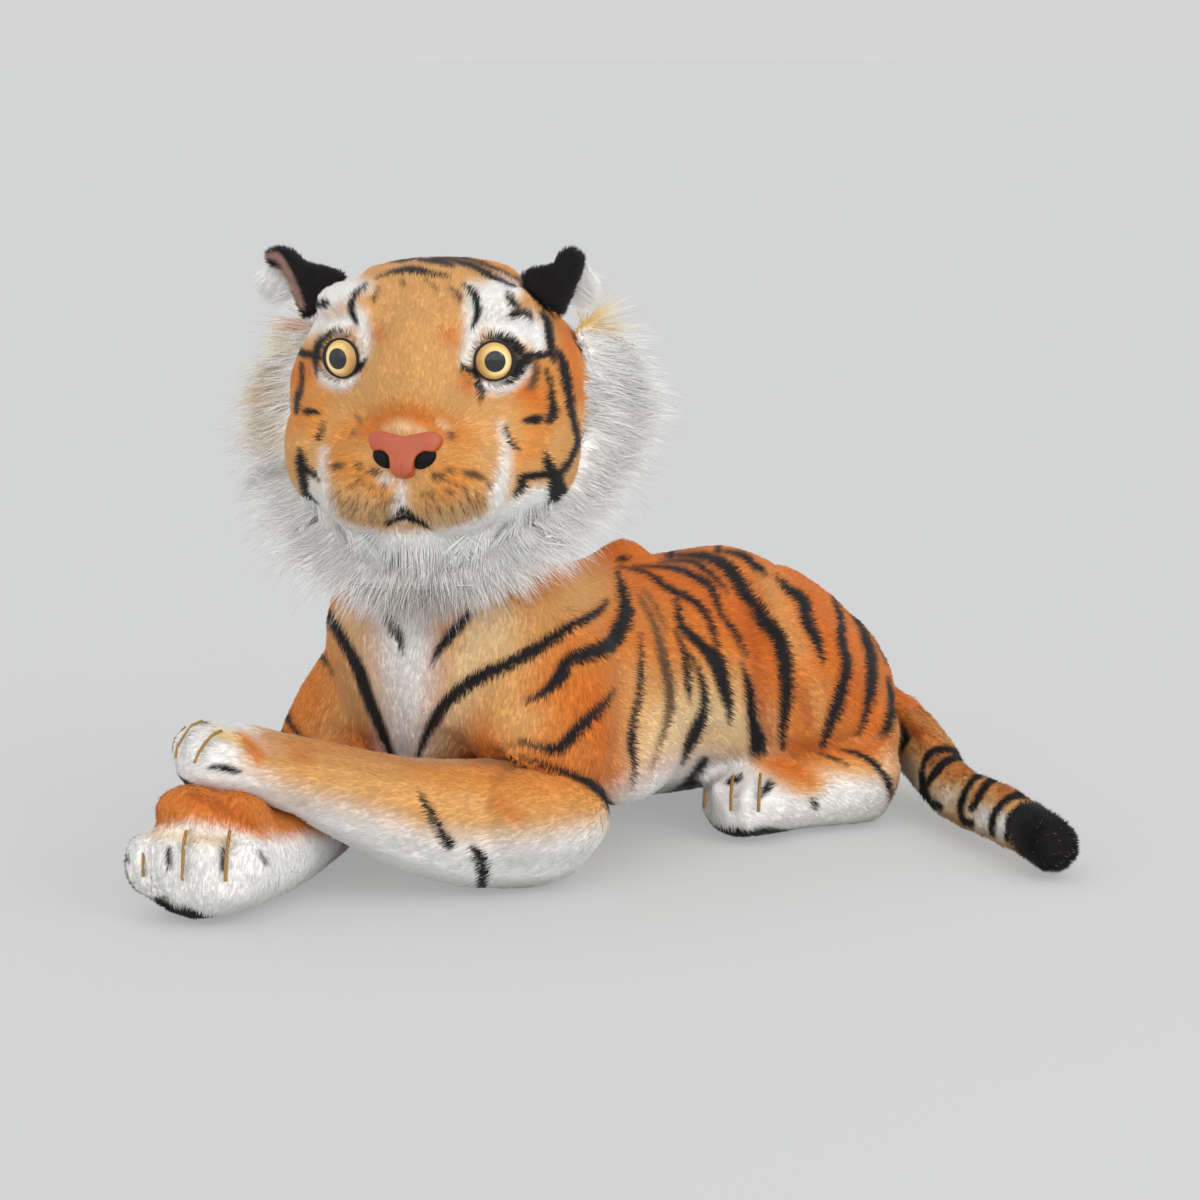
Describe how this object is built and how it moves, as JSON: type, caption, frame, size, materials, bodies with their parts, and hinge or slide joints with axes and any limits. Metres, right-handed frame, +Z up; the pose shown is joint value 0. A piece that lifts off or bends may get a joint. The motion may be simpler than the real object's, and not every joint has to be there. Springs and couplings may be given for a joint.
{
  "type": "plush tiger",
  "caption": "Lying plush tiger with crossed forelegs and a long-pile ruff; head, ears, raised foreleg and curled tail move on their stuffed seams.",
  "frame": {"origin": "under the middle of the toy's bounding box, on the floor", "axes": "+Z up; the body lies along Y with its head towards -Y and its tail root towards +Y; +X is the toy's left"},
  "size_m": [0.4552, 0.599, 0.3947],
  "materials": {
    "striped_pile": "short deep-orange pile with black stripes and a white underside",
    "white_pile": "white pile, long and dark-tipped at the ruff",
    "black_pile": "black pile",
    "fibre": "polyester stuffing",
    "gold_thread": "thick sewing thread",
    "coral_vinyl": "matt moulded vinyl",
    "clear_plastic": "clear, polished",
    "amber_plastic": "pale yellow, amber towards the inner corner",
    "black_plastic": "polished",
    "nylon": "moulded lock washer"
  },
  "bodies": {
    "torso": {"left_hind_foot": "white_pile", "left_hind_paw_pad": "black_pile", "left_hind_toe_stitch_1": "gold_thread", "left_hind_toe_stitch_2": "gold_thread", "left_hind_toe_stitch_3": "gold_thread", "left_thigh_cover": "striped_pile", "left_thigh_stuffing": "fibre", "left_upper_arm_cover": "striped_pile", "left_upper_arm_stuffing": "fibre", "right_fore_paw_pad": "black_pile", "right_fore_toe_stitch_1": "gold_thread", "right_fore_toe_stitch_2": "gold_thread", "right_fore_toe_stitch_3": "gold_thread", "right_forearm_cover": "striped_pile", "right_forearm_stuffing": "fibre", "right_hind_foot": "white_pile", "right_hind_paw_pad": "black_pile", "right_hind_toe_stitch_1": "gold_thread", "right_hind_toe_stitch_2": "gold_thread", "right_hind_toe_stitch_3": "gold_thread", "right_thigh_cover": "striped_pile", "right_thigh_stuffing": "fibre", "right_upper_arm_cover": "striped_pile", "right_upper_arm_stuffing": "fibre", "torso_cover": "striped_pile", "torso_stuffing": "fibre"},
    "neck": {"neck": "fibre"},
    "head": {"chin": "white_pile", "chin_ruff": "white_pile", "head_cover": "striped_pile", "head_stuffing": "fibre", "left_eye_dome": "clear_plastic", "left_eye_iris": "amber_plastic", "left_eye_pupil": "black_plastic", "left_eye_washer": "nylon", "left_ruff": "white_pile", "mouth_stitch": "black_pile", "muzzle_cover": "striped_pile", "muzzle_stuffing": "fibre", "nose": "coral_vinyl", "right_eye_dome": "clear_plastic", "right_eye_iris": "amber_plastic", "right_eye_pupil": "black_plastic", "right_eye_washer": "nylon", "right_ruff": "white_pile"},
    "left_ear": {"left_ear_back": "black_pile", "left_ear_lining": "white_pile"},
    "right_ear": {"right_ear_back": "black_pile", "right_ear_lining": "white_pile"},
    "left_foreleg": {"left_fore_paw_pad": "black_pile", "left_fore_toe_stitch_1": "gold_thread", "left_fore_toe_stitch_2": "gold_thread", "left_fore_toe_stitch_3": "gold_thread", "left_forearm_cover": "striped_pile", "left_forearm_stuffing": "fibre"},
    "tail_base": {"tail_base_cover": "striped_pile", "tail_base_stuffing": "fibre"},
    "tail_end": {"tail_outer_cover": "striped_pile", "tail_outer_stuffing": "fibre", "tail_tip": "black_pile"}
  },
  "joints": [
    {"name": "head_turn", "type": "hinge", "parent": "torso", "child": "neck", "pos_m": [-0.08144, -0.07137, 0.205], "axis": [0, 0, 1], "range_deg": [-20, 20], "stiffness_Nm_per_rad": 5},
    {"name": "head_nod", "type": "hinge", "parent": "neck", "child": "head", "pos_m": [-0.08144, -0.07137, 0.205], "axis": [0.8039, 0.5948, 0], "range_deg": [-8, 10], "stiffness_Nm_per_rad": 5},
    {"name": "left_ear_fold", "type": "hinge", "parent": "head", "child": "left_ear", "pos_m": [-0.00787, -0.05425, 0.36393], "axis": [0.5782, 0.4279, -0.6947], "range_deg": [-15, 15], "stiffness_Nm_per_rad": 0.04},
    {"name": "right_ear_fold", "type": "hinge", "parent": "head", "child": "right_ear", "pos_m": [-0.11931, -0.13671, 0.36392], "axis": [0.5782, 0.4279, 0.6947], "range_deg": [-15, 15], "stiffness_Nm_per_rad": 0.04},
    {"name": "left_foreleg_lift", "type": "hinge", "parent": "torso", "child": "left_foreleg", "pos_m": [0.00056, -0.07537, 0.04103], "axis": [-0.8124, 0.5831, 0], "range_deg": [0, 15], "stiffness_Nm_per_rad": 1.5},
    {"name": "tail_swing", "type": "hinge", "parent": "torso", "child": "tail_base", "pos_m": [-0.05144, 0.27263, 0.05567], "axis": [0, 0, 1], "range_deg": [-2, 30], "stiffness_Nm_per_rad": 0.6},
    {"name": "tail_bend", "type": "hinge", "parent": "tail_base", "child": "tail_end", "pos_m": [0.06472, 0.23413, 0.0237], "axis": [0, 0, 1], "range_deg": [-12, 28], "stiffness_Nm_per_rad": 0.4}
  ]
}
